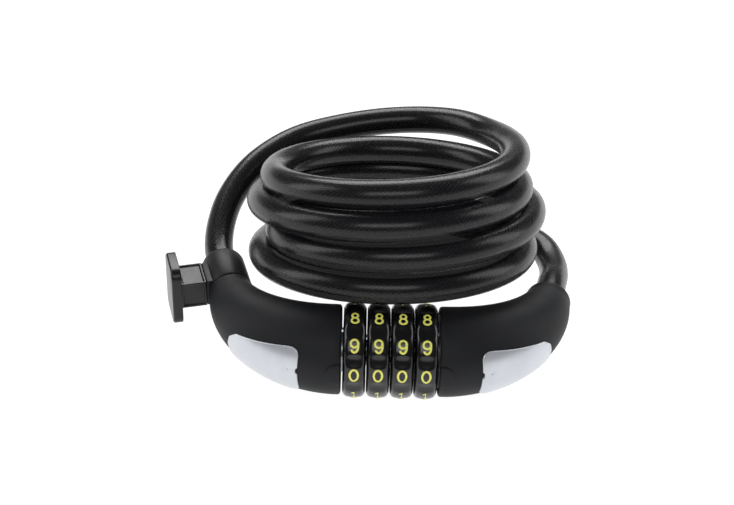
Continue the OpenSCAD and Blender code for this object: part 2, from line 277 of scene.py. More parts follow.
class NodeSheet:
    """A material's node tree, with short calls that add and join nodes."""

    def __init__(self, name: str) -> None:
        """Starts an empty material with a Principled shader and its output."""
        self.material = bpy.data.materials.new(name)
        self.material.use_nodes = True
        self.tree = self.material.node_tree
        self.tree.nodes.clear()
        output = self.tree.nodes.new("ShaderNodeOutputMaterial")
        self.shader = self.tree.nodes.new("ShaderNodeBsdfPrincipled")
        self.link(self.shader.outputs["BSDF"], output.inputs["Surface"])

    def link(self, source: bpy.types.NodeSocket, target: bpy.types.NodeSocket) -> None:
        """Joins an output to an input."""
        self.tree.links.new(source, target)

    def set(self, **values: object) -> None:
        """Sets sockets of the shader, with underscores for the spaces in their names."""
        for key, value in values.items():
            self.shader.inputs[key.replace("_", " ")].default_value = value

    def place(self, uv: bool = False) -> bpy.types.NodeSocket:
        """Returns the piece's Object coordinates, or its UV map."""
        return self.tree.nodes.new("ShaderNodeTexCoord").outputs["UV" if uv else "Object"]

    def noise(
        self, at: bpy.types.NodeSocket, scale: float, detail: float = 3.0
    ) -> bpy.types.NodeSocket:
        """Returns a noise pattern's value at a coordinate."""
        node = self.tree.nodes.new("ShaderNodeTexNoise")
        node.inputs["Scale"].default_value = scale
        node.inputs["Detail"].default_value = detail
        self.link(at, node.inputs["Vector"])
        return node.outputs["Fac"]

    def math(
        self, kind: str, a: object, b: object = 0.0, clamp: bool = False
    ) -> bpy.types.NodeSocket:
        """Returns the result of a Math node on sockets or numbers."""
        node = self.tree.nodes.new("ShaderNodeMath")
        node.operation = kind
        node.use_clamp = clamp
        for socket, value in zip(node.inputs, (a, b)):
            if isinstance(value, (int, float)):
                socket.default_value = value
            else:
                self.link(value, socket)
        return node.outputs[0]

    def split(self, at: bpy.types.NodeSocket) -> tuple[bpy.types.NodeSocket, ...]:
        """Returns the X, Y and Z of a coordinate."""
        node = self.tree.nodes.new("ShaderNodeSeparateXYZ")
        self.link(at, node.inputs[0])
        return tuple(node.outputs)

    def ramp(
        self, value: bpy.types.NodeSocket, stops: Iterable[tuple[float, Sequence[float]]]
    ) -> bpy.types.NodeSocket:
        """Returns a colour ramp's colour.

        Args:
            value: The socket that drives the ramp.
            stops: Pairs of place and colour.

        Returns:
            The colour output.
        """
        node = self.tree.nodes.new("ShaderNodeValToRGB")
        elements = node.color_ramp.elements
        stops = list(stops)
        while len(elements) < len(stops):
            elements.new(0.5)
        for element, (where, colour) in zip(elements, stops):
            element.position = where
            element.color = (*colour, 1.0)
        self.link(value, node.inputs[0])
        return node.outputs["Color"]

    def spread(
        self, value: bpy.types.NodeSocket, low: float, high: float
    ) -> bpy.types.NodeSocket:
        """Returns a value from 0 to 1 mapped to a range."""
        node = self.tree.nodes.new("ShaderNodeMapRange")
        node.inputs["To Min"].default_value = low
        node.inputs["To Max"].default_value = high
        self.link(value, node.inputs["Value"])
        return node.outputs[0]

    def dress(
        self, colour: bpy.types.NodeSocket, roughness: bpy.types.NodeSocket
    ) -> None:
        """Joins a colour and a roughness pattern to the shader."""
        self.link(colour, self.shader.inputs["Base Color"])
        self.link(roughness, self.shader.inputs["Roughness"])

    def bump(self, height: bpy.types.NodeSocket, depth: float, strength: float = 1.0) -> None:
        """Joins a height pattern to the shader's normal.

        Args:
            height: The pattern.
            depth: The pattern's depth in metres.
            strength: How much of it shows.
        """
        node = self.tree.nodes.new("ShaderNodeBump")
        node.inputs["Strength"].default_value = strength
        node.inputs["Distance"].default_value = depth
        self.link(height, node.inputs["Height"])
        self.link(node.outputs[0], self.shader.inputs["Normal"])


@dataclass(frozen=True)
class MouldedPlastic:
    """Moulded plastic with a fine spark-eroded grain and slight unevenness."""

    name: str
    colour: tuple[float, float, float]
    worn: tuple[float, float, float]
    roughness: tuple[float, float]
    grain: float = 9000.0
    grain_depth: float = 0.00002
    coat: float = 0.0
    gloss: float = 0.5

    def build(self) -> bpy.types.Material:
        """Builds the material."""
        sheet = NodeSheet(self.name)
        at = sheet.place()
        cloud = sheet.ramp(sheet.noise(at, 55.0, 4.0), [(0.3, self.colour), (0.75, self.worn)])
        sheet.dress(cloud, sheet.spread(sheet.noise(at, 160.0, 5.0), *self.roughness))
        sheet.set(Coat_Weight=self.coat, Coat_Roughness=0.1, Specular_IOR_Level=self.gloss)
        sheet.bump(sheet.noise(at, self.grain, 2.0), self.grain_depth, 0.5)
        return sheet.material


@dataclass(frozen=True)
class MetalFinish:
    """Metal with fine turning or casting marks."""

    name: str
    colour: tuple[float, float, float]
    shade: tuple[float, float, float]
    roughness: tuple[float, float]
    marks: float = 2500.0
    marks_depth: float = 0.00001
    metallic: float = 1.0
    coat: float = 0.0

    def build(self) -> bpy.types.Material:
        """Builds the material."""
        sheet = NodeSheet(self.name)
        at = sheet.place()
        cloud = sheet.ramp(sheet.noise(at, 90.0, 4.0), [(0.3, self.shade), (0.7, self.colour)])
        sheet.dress(cloud, sheet.spread(sheet.noise(at, 300.0, 4.0), *self.roughness))
        sheet.set(Metallic=self.metallic, Coat_Weight=self.coat, Coat_Roughness=0.15)
        sheet.bump(sheet.noise(at, self.marks, 2.0), self.marks_depth, 0.4)
        return sheet.material


@dataclass(frozen=True)
class StrandSteel:
    """Twisted galvanised steel strands made of fine wires, drawn along the cable's own length, with
    painted shade in the gaps between strands and wires and painted highlights and glints on the
    wire crests.
    """

    name: str = "strand_steel"
    strands: int = 15
    wires: int = 3
    wire_lay: float = 0.0021

    def build(self) -> bpy.types.Material:
        """Builds the material."""
        sheet = NodeSheet(self.name)
        around, along, _ = sheet.split(sheet.place(uv=True))
        turn = sheet.math("MULTIPLY", around, float(self.strands * self.wires))
        lay = sheet.math("MULTIPLY", along, 1.0 / self.wire_lay)
        phase = sheet.math("MULTIPLY", sheet.math("SUBTRACT", turn, lay), math.tau)
        wave = sheet.math("SINE", phase)
        wire = sheet.math("ADD", sheet.math("MULTIPLY", wave, 0.5), 0.5)
        lobe = sheet.math("MULTIPLY", around, self.strands * math.pi)
        crest = sheet.math("ABSOLUTE", sheet.math("SINE", lobe))
        # Painted shade and highlight: the base colour is dark in the gaps between wires and strands
        # and bright on their crests.
        painted_crest_highlight = sheet.math("MULTIPLY", wire, sheet.math("POWER", crest, 1.4))
        # Painted glints: a fine noise brightens the crests in spots, up to a near-white colour.
        painted_glint_noise = sheet.noise(sheet.place(), 900.0, 2.0)
        painted_glint_highlight = sheet.math("MULTIPLY", painted_crest_highlight, sheet.spread(painted_glint_noise, -0.6, 2.6), clamp=True)
        stops = [(0.0, (0.012, 0.012, 0.011)), (0.4, (0.20, 0.19, 0.15)), (1.0, (1.0, 0.97, 0.80))]
        sheet.link(sheet.ramp(painted_glint_highlight, stops), sheet.shader.inputs["Base Color"])
        sheet.set(Metallic=0.6, Roughness=0.34)
        sheet.bump(wire, 0.00010, 0.8)
        return sheet.material


@dataclass(frozen=True)
class SmokySleeve:
    """Clear smoky plastic sleeve, glossy and faintly uneven."""

    name: str = "smoky_sleeve"
    tint: tuple[float, float, float] = (0.0045, 0.0042, 0.0056)
    pale: tuple[float, float, float] = (0.0075, 0.0070, 0.0095)
    roughness: tuple[float, float] = (0.22, 0.32)
    cover: float = 0.88

    def build(self) -> bpy.types.Material:
        """Builds the material."""
        sheet = NodeSheet(self.name)
        at = sheet.place()
        cloud = sheet.ramp(sheet.noise(at, 35.0, 3.0), [(0.3, self.tint), (0.8, self.pale)])
        sheet.dress(cloud, sheet.spread(sheet.noise(at, 120.0, 3.0), *self.roughness))
        sheet.set(Alpha=self.cover, IOR=1.45, Specular_IOR_Level=0.42)
        sheet.set(Coat_Weight=0.05, Coat_Roughness=0.12)
        sheet.bump(sheet.noise(at, 260.0, 2.0), 0.00006, 0.35)
        sheet.material.surface_render_method = "BLENDED"
        return sheet.material


@dataclass(frozen=True)
class DigitPaint:
    """Yellow paint of the raised digits, in slightly uneven patches of tone and roughness."""

    name: str = "digit_yellow"

    def build(self) -> bpy.types.Material:
        """Builds the material."""
        sheet = NodeSheet(self.name)
        at = sheet.place()
        patch = sheet.noise(at, 1500.0, 3.0)
        stops = [(0.25, (0.86, 0.82, 0.09)), (0.6, (1.0, 0.98, 0.22))]
        sheet.dress(sheet.ramp(patch, stops), sheet.spread(patch, 0.38, 0.55))
        sheet.bump(sheet.noise(at, 6000.0, 2.0), 0.00001, 0.5)
        return sheet.material


class Finishes:
    """All the lock's materials, made once."""

    def __init__(self) -> None:
        """Builds each finish."""
        self.soft_touch = MouldedPlastic(
            "soft_touch_black", (0.0075, 0.008, 0.0095), (0.0115, 0.012, 0.0145),
            (0.52, 0.64), gloss=0.26,
        ).build()
        self.collar = MouldedPlastic(
            "collar_black", (0.007, 0.0072, 0.008), (0.011, 0.0115, 0.013),
            (0.40, 0.52), gloss=0.3,
        ).build()
        self.slide = MouldedPlastic(
            "slide_black", (0.004, 0.0042, 0.0048), (0.008, 0.0085, 0.0095),
            (0.24, 0.36), gloss=0.4,
        ).build()
        self.wheel = MouldedPlastic(
            "wheel_black", (0.0025, 0.0025, 0.003), (0.005, 0.005, 0.0058),
            (0.14, 0.24), grain=4000.0, grain_depth=0.000008, coat=0.1,
        ).build()
        self.silver = MetalFinish(
            "satin_silver", (0.66, 0.68, 0.72), (0.58, 0.60, 0.65), (0.30, 0.38),
            marks=5000.0, marks_depth=0.000006, metallic=0.55, coat=0.25,
        ).build()
        self.zinc = MetalFinish(
            "cast_zinc", (0.52, 0.53, 0.55), (0.36, 0.37, 0.39), (0.42, 0.60)
        ).build()
        self.steel = MetalFinish(
            "turned_steel", (0.66, 0.67, 0.70), (0.50, 0.51, 0.53), (0.22, 0.36)
        ).build()
        self.brass = MetalFinish(
            "turned_brass", (0.78, 0.60, 0.27), (0.58, 0.42, 0.17), (0.24, 0.38)
        ).build()
        self.strand = StrandSteel().build()
        self.sleeve = SmokySleeve().build()
        self.digit = DigitPaint().build()


# ---------- cable ----------


@dataclass(frozen=True)
class Coil:
    """The stacked turns, in millimetres: each starts on the right and runs to the front.

    Three rows of values shape it: its places furthest right and left, its places furthest
    forward and back, and how much each side is lifted.
    """

    tilt: float = 16.0
    pitch: float = 12.2
    last_front: float = 3.25
    last_front_y: float = 63.6
    last_front_z: float = 26.6
    sides: tuple[float, ...] = (50.0, -48.1, 51.3, -53.6, 57.3, -45.9, 54.6, -53.0, 55.0)
    depths: tuple[float, ...] = (51.7, -55.6, 44.4, -59.4, 51.8, -59.4, 48.4, -60.6, 57.8)
    lifts: tuple[float, ...] = (2.2, -3.2, 2.0, -1.4, 4.1, -2.7, 0.3, 0.8, 2.0)

    @staticmethod
    def swing(values: tuple[float, ...], halves: float) -> float:
        """Swings from one value to the next, slowing down at each.

        Args:
            values: The extreme places, one for each half turn.
            halves: The half turns since the first value.

        Returns:
            The place.
        """
        below = min(max(math.floor(halves), 0), len(values) - 2)
        here, there = values[below], values[below + 1]
        return (here + there) / 2 + (here - there) / 2 * math.cos(math.pi * (halves - below))

    @staticmethod
    def level(values: tuple[float, ...], halves: float) -> float:
        """Returns a value part of the way between its neighbours."""
        place = min(max(halves, 0.0), len(values) - 1.0)
        below = min(int(place), len(values) - 2)
        return values[below] + (values[below + 1] - values[below]) * (place - below)

    def point(self, turn: float) -> Vector:
        """Finds a point of the coil's centreline.

        Args:
            turn: Turns wound so far, from 0 at the right of the top turn.

        Returns:
            The point in the row frame, in metres.
        """
        lean = math.radians(self.tilt)
        drop = self.pitch * (self.last_front - turn)
        back = self.swing(self.depths, 2 * turn + 0.5)
        x = self.swing(self.sides, 2 * turn)
        y = self.last_front_y + drop * math.sin(lean) + back * math.cos(lean)
        z = self.last_front_z + drop * math.cos(lean) - back * math.sin(lean)
        return on_floor((x, y, z + self.level(self.lifts, 2 * turn)))


@dataclass(frozen=True)
class Cable:
    """The sleeved steel cable, in metres but for its routes.

    The lead and the coil belong to the lock's body, and the tail runs to the plug. Route points
    are in millimetres, from the floor under the wheels' middle.
    """

    diameter: float = 0.012
    strand: float = 0.0040
    lobe: float = 0.00036
    lobes: int = 15
    lay: float = 0.031
    start: float = -0.03
    seam: float = 3.66
    points_per_turn: int = 24
    spacing: float = 0.0022
    steps_between: int = 12
    lead: tuple[tuple[float, float, float], ...] = (
        (-60.6, 21.5, 18.6), (-64.7, 37, 18.6), (-67.2, 46.5, 18.6), (-70.2, 57.6, 18.6),
        (-72.2, 66.5, 20.5), (-72.3, 77, 24.4), (-69.3, 91, 30.1), (-61.6, 105, 36.2),
        (-52, 115, 40.2), (-40.6, 123, 43), (-22.6, 128, 46.2), (-3.8, 129.5, 49.1),
        (14.4, 127.5, 51.5), (28.9, 120, 54.5), (40.8, 107, 57.6),
    )
    tail: tuple[tuple[float, float, float], ...] = (
        (24, 114.5, 7.0), (38.5, 109, 7.4), (56.8, 96.5, 12), (66.2, 84.5, 13.6),
        (69.6, 72, 13.7), (69.5, 61, 15), (67.2, 49, 17.6), (64.7, 37, 18.6), (60.6, 21.5, 18.6),
    )
    coil: Coil = field(default_factory=Coil)

    def routes(self) -> tuple[list[Vector], list[Vector]]:
        """Works out both stretches' points.

        Returns:
            The main stretch from the left arm to the seam, and the tail from the seam to the plug.
        """
        step = 1.0 / self.points_per_turn
        wound = self.seam - self.start
        count = round(wound / step)
        turns = [self.start + wound * k / count for k in range(count + 1)]
        main = [on_floor(p) for p in self.lead] + [self.coil.point(t) for t in turns]
        start = [self.coil.point(self.seam + k * step) for k in range(3)]
        tail = start + [on_floor(p) for p in self.tail]
        lap = self.coil.point(self.seam + step)
        before = self.coil.point(self.seam - step)
        return self.smooth(main, after=lap), self.smooth(tail, before=before)

    def smooth(
        self, points: list[Vector], before: Vector | None = None, after: Vector | None = None
    ) -> list[Vector]:
        """Runs a smooth curve through points and spaces it evenly.

        Args:
            points: The points that the curve passes through.
            before: A point that the curve would come from.
            after: A point that the curve would go on to.

        Returns:
            Points along the curve, with both ends kept.
        """
        first = before or points[0] * 2 - points[1]
        last = after or points[-1] * 2 - points[-2]
        row = [first, *points, last]
        fine: list[Vector] = []
        for a, b, c, d in zip(row, row[1:], row[2:], row[3:]):
            span = (c - b).length
            out_b = ((c - b).normalized() + (b - a).normalized()) / 2 * span
            in_c = ((d - c).normalized() + (c - b).normalized()) / 2 * span
            for k in range(self.steps_between):
                t = k / self.steps_between
                fine.append(
                    b * (2 * t**3 - 3 * t**2 + 1) + out_b * (t**3 - 2 * t**2 + t)
                    + c * (3 * t**2 - 2 * t**3) + in_c * (t**3 - t**2)
                )
        fine.append(points[-1])
        lengths = [0.0]
        for a, b in zip(fine, fine[1:]):
            lengths.append(lengths[-1] + (b - a).length)
        count = max(2, round(lengths[-1] / self.spacing))
        even: list[Vector] = []
        k = 0
        for n in range(count + 1):
            want = lengths[-1] * n / count
            while k < len(lengths) - 2 and lengths[k + 1] < want:
                k += 1
            part = (want - lengths[k]) / max(lengths[k + 1] - lengths[k], 1e-12)
            even.append(fine[k].lerp(fine[k + 1], min(part, 1.0)))
        return even

    def section(self, sides: int, lobed: bool) -> list[tuple[float, float]]:
        """Returns one turn of the section as (angle, radius)."""
        angles = [math.tau * k / sides for k in range(sides)]
        if not lobed:
            return [(a, self.diameter / 2) for a in angles]
        crests = [abs(math.sin(a * self.lobes / 2)) for a in angles]
        return [(a, self.strand - self.lobe * (1 - c)) for a, c in zip(angles, crests)]

    def sweep(
        self, name: str, path: list[Vector], lobed: bool, finish: bpy.types.Material,
        travelled: float = 0.0,
    ) -> bpy.types.Object:
        """Sweeps a section along a path, with a UV map that follows the cable.

        Args:
            name: The piece's name.
            path: The centreline.
            lobed: True for the twisted strand, False for the round sleeve.
            finish: The material.
            travelled: The cable's length before the path's first point.

        Returns:
            The swept tube, capped at both ends.
        """
        profile = self.section(self.lobes * 4 if lobed else 28, lobed)
        sides = len(profile)
        bm = bmesh.new()
        uv = bm.loops.layers.uv.new("UVMap")
        side = (path[1] - path[0]).cross(UP).normalized()
        rings: list[list[bmesh.types.BMVert]] = []
        marks: list[float] = []
        length = travelled
        for k, point in enumerate(path):
            ahead = (path[min(k + 1, len(path) - 1)] - path[max(k - 1, 0)]).normalized()
            side = (side - ahead * side.dot(ahead)).normalized()
            other = ahead.cross(side)
            if k:
                length += (point - path[k - 1]).length
            twist = -math.tau * length / self.lay if lobed else 0.0
            rings.append([
                bm.verts.new(point + (side * math.cos(a + twist) + other * math.sin(a + twist)) * r)
                for a, r in profile
            ])
            marks.append(length)
        for k in range(len(rings) - 1):
            for j in range(sides):
                i = (j + 1) % sides
                face = bm.faces.new((rings[k][j], rings[k][i], rings[k + 1][i], rings[k + 1][j]))
                corners = ((j, k), (j + 1, k), (j + 1, k + 1), (j, k + 1))
                for loop, (u, v) in zip(face.loops, corners):
                    loop[uv].uv = (u / sides, marks[v])
        bm.faces.new(list(reversed(rings[0])))
        bm.faces.new(rings[-1])
        return finish_mesh(name, bm, finish, sharp=75.0)

    def build(self, looks: Finishes) -> list[bpy.types.Object]:
        """Builds and dresses both stretches and hides the CAD parts that they stand in for.

        Args:
            looks: The lock's materials.

        Returns:
            The four pieces.
        """
        main, tail = self.routes()
        length = sum((b - a).length for a, b in zip(main, main[1:]))
        sleeve = self.sweep("cable_main_sleeve", main, False, looks.sleeve)
        strand = self.sweep("cable_main_strand", main, True, looks.strand)
        tail_sleeve = self.sweep("cable_tail_sleeve", tail, False, looks.sleeve, length)
        tail_strand = self.sweep("cable_tail_strand", tail, True, looks.strand, length)
        for piece in (sleeve, strand):
            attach(piece, "lock_body")
        for piece in (tail_sleeve, tail_strand):
            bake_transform(piece)
        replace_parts(sleeve, "cable_lead", "cable_coil")
        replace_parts(tail_sleeve, "cable_tail")
        return [sleeve, strand, tail_sleeve, tail_strand]


# ---------- arms ----------


@dataclass(frozen=True)
class Arm:
    """A curved arm's cover, silver inlay and index mark, in metres from the wheels' middle."""

    side: Side
    face: float = 0.0187
    bend_start: float = 0.0195
    bend_radius: float = 0.046
    turn: float = 75.0
    straight: float = 0.003
    wheel_radius: float = 0.0175
    cable_radius: float = 0.0092
    taper: float = 1.75
    mouth: float = 0.0062
    wall: float = 0.0022
    index_angle: float = 2.0

    @property
    def arc(self) -> float:
        """The centreline's length for each degree of the bend."""
        return math.radians(1) * self.bend_radius

    def centre(self, a: float) -> Vector:
        """Returns the centreline's point after a turn of a degrees, for a right arm."""
        t = math.radians(a)
        across = self.bend_start + self.bend_radius * math.sin(t)
        return Vector((across, self.bend_radius * (1 - math.cos(t)), 0.0))

    def heading(self, a: float) -> Vector:
        """Returns the centreline's direction after a turn of a degrees."""
        return Vector((math.cos(math.radians(a)), math.sin(math.radians(a)), 0.0))

    def radius(self, a: float) -> float:
        """Returns the cover's outside radius after a turn of a degrees."""
        part = max(a, 0.0) / self.turn
        return self.wheel_radius - (self.wheel_radius - self.cable_radius) * part**self.taper

    def on_cover(self, a: float, around: float, proud: float) -> Vector:
        """Finds a point on or above the cover of a right arm.

        Args:
            a: The turn along the bend in degrees; below 0 it counts back along the straight start.
            around: The angle round the section in radians, from its outer side upwards.
            proud: The height above the cover.

        Returns:
            The point, from the wheels' middle.
        """
        back = min(a, 0.0) * self.arc
        middle = self.centre(max(a, 0.0)) + Vector((back, 0.0, 0.0))
        ahead = self.heading(max(a, 0.0))
        out = Vector((ahead.y, -ahead.x, 0.0))
        return middle + (out * math.cos(around) + UP * math.sin(around)) * (self.radius(a) + proud)

    def settle(self, bm: bmesh.types.BMesh) -> None:
        """Mirrors a right arm's piece where needed and moves it to the head."""
        if self.side is Side.LEFT:
            bmesh.ops.scale(bm, vec=(-1, 1, 1), verts=bm.verts)
        bmesh.ops.translate(bm, vec=HEAD, verts=bm.verts)

    def add(self, piece: bpy.types.Object, slot: str, *nodes: str) -> bpy.types.Object:
        """Rides a piece on the arm's body and hides any CAD nodes that it stands in for."""
        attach(piece, self.side.body)
        if nodes:
            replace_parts(piece, *nodes)
        return piece

    def build_cover(self, looks: Finishes) -> bpy.types.Object:
        """Builds the hollow cover with its rounded rims."""
        x_axis = Vector((1.0, 0.0, 0.0))
        end_dir = self.heading(self.turn)
        end = self.centre(self.turn) + end_dir * self.straight
        inner = self.wheel_radius - self.wall
        outer = self.wheel_radius
        front = [
            (0.004, inner), (0.0003, inner), (0.0, inner + 0.0003), (0.0, outer - 0.0013),
            (0.00012, outer - 0.00078), (0.00045, outer - 0.00028), (0.0009, outer - 0.00006),
        ]
        stations = [ring_at(Vector((self.face + d, 0, 0)), x_axis, r) for d, r in front]
        for k in range(1, 31):
            a = self.turn * k / 30
            stations.append(ring_at(self.centre(a), self.heading(a), self.radius(a)))
        back = [(-0.0012, 0.0), (-0.0005, 0.0002), (-0.0001, 0.0006), (0.0, 0.0011)]
        for d, less in back:
            stations.append(ring_at(end + end_dir * d, end_dir, self.cable_radius - less))
        stations.append(ring_at(end, end_dir, self.mouth + 0.0003))
        stations.append(ring_at(end - end_dir * 0.0003, end_dir, self.mouth))
        stations.append(ring_at(end - end_dir * 0.002, end_dir, self.mouth))
        for k in range(14, 1, -1):
            a = self.turn * k / 15
            radius = self.radius(a) - self.wall
            stations.append(ring_at(self.centre(a), self.heading(a), radius))
        bm = loft(stations, 72, closed=True)
        self.settle(bm)
        piece = finish_mesh(f"{self.side.label}_arm_cover_skin", bm, looks.soft_touch, sharp=50.0)
        return self.add(piece, "soft_black", f"{self.side.label}_arm_cover")

    def build_inlay(self, looks: Finishes) -> bpy.types.Object:
        """Builds the silver inlay, wrapped on the outside of the bend."""
        arc = self.arc
        reach = 0.016
        up = math.radians(1) * reach
        near, far = 14.3 * arc, 46.3 * arc
        notch = 0.0006
        outline = [
            (near, -32 * up), (near + 0.0010, -39 * up), (near + 0.0036, -47 * up),
            (near + 0.0070, -50 * up), (far - 0.0050, -46 * up), (far - 0.0022, -36 * up),
            (far - 0.0003, -22 * up), (far, -4 * up), (far - 0.0008, 10 * up),
            (far - 0.0034, 20 * up), (far - 0.0120, 26.5 * up), (near + 0.0036, 33.2 * up),
            (near + 0.0018, 33 * up), (near + 0.0005, 30 * up), (near, 25 * up), (near, 6 * up),
            (near + notch, 5 * up), (near + notch, -1 * up), (near, -2 * up),
        ]
        bm = rounded_plate(outline, 0.0005, 0.0011, 0.0003, 0.0011)
        for v in bm.verts:
            v.co = self.on_cover(v.co.x / arc, v.co.y / reach, v.co.z - 0.0005)
        self.settle(bm)
        piece = finish_mesh(f"{self.side.label}_arm_inlay_plate", bm, looks.silver, sharp=60.0)
        return self.add(piece, "silver_inlay", f"{self.side.label}_arm_inlay")

    def build_index(self, looks: Finishes) -> bpy.types.Object:
        """Builds the raised half-round index beside the wheels' code row."""
        length, half = 0.0041, 0.0046
        start = -(self.bend_start - self.face) + 0.0004
        angles = [math.pi * k / 14 for k in range(15)]
        edge = [(start + length * math.sin(t) ** 0.75, half * math.cos(t)) for t in angles]
        bm = rounded_plate(edge[::-1], 0.0001, 0.0007, 0.0002, 0.0012)
        middle = math.radians(self.index_angle)
        for v in bm.verts:
            around = middle + v.co.y / self.wheel_radius
            v.co = self.on_cover(v.co.x / self.arc, around, v.co.z - 0.00022)
        self.settle(bm)
        piece = finish_mesh(f"{self.side.label}_index_mark", bm, looks.soft_touch)
        return self.add(piece, "soft_black")

    def build(self, looks: Finishes) -> list[bpy.types.Object]:
        """Builds all the arm's pieces."""
        return [self.build_cover(looks), self.build_inlay(looks), self.build_index(looks)]


# ---------- number wheels ----------


def bow(
    x: float, y: float, rx: float, ry: float, start: float, end: float, steps: int = 14
) -> list[tuple[float, float]]:
    """Lists points of an elliptical arc.

    Args:
        x: The centre's place across.
        y: The centre's place upwards.
        rx: The radius across.
        ry: The radius upwards.
        start: The first angle in degrees.
        end: The last angle in degrees.
        steps: The number of steps.

    Returns:
        The points, both ends included.
    """
    turns = [math.radians(start + (end - start) * k / steps) for k in range(steps + 1)]
    return [(x + rx * math.cos(t), y + ry * math.sin(t)) for t in turns]


def digit_strokes(digit: int) -> list[list[tuple[float, float]]]:
    """Draws a digit as strokes in a cell that reaches 1 to each side and 1 up and down.

    Args:
        digit: The digit, from 0 to 9.

    Returns:
        The strokes. One that ends where it starts is a closed loop.
    """
    hook = bow(0, 0, 0.84, 1, 215, 35, 12)
    strokes = {
        0: [bow(0, 0, 0.92, 1, 0, 360, 28)],
        1: [[(-0.4, 0.66), (0.12, 1), (0.12, -1)]],
        2: [bow(0, 0.42, 0.8, 0.58, 165, -38) + [(-0.82, -1), (0.86, -1)]],
        3: [bow(-0.05, 0.5, 0.7, 0.5, 150, -90) + bow(-0.05, -0.5, 0.84, 0.5, 90, -150)],
        4: [[(0.4, -1), (0.4, 1), (-0.85, -0.42), (0.88, -0.42)]],
        5: [[(0.7, 1), (-0.55, 1), (-0.66, 0.12)] + bow(0, -0.36, 0.84, 0.64, 128, -150)],
        6: [hook[::-1], bow(0, -0.4, 0.84, 0.6, 0, 360, 20)],
        7: [[(-0.8, 1), (0.82, 1), (-0.22, -1)]],
        8: [bow(0, 0.5, 0.64, 0.48, 0, 360, 18), bow(0, -0.48, 0.78, 0.52, 0, 360, 20)],
        9: [[(-x, -y) for x, y in hook], bow(0, 0.4, 0.84, 0.6, 0, 360, 20)],
    }
    return strokes[digit]


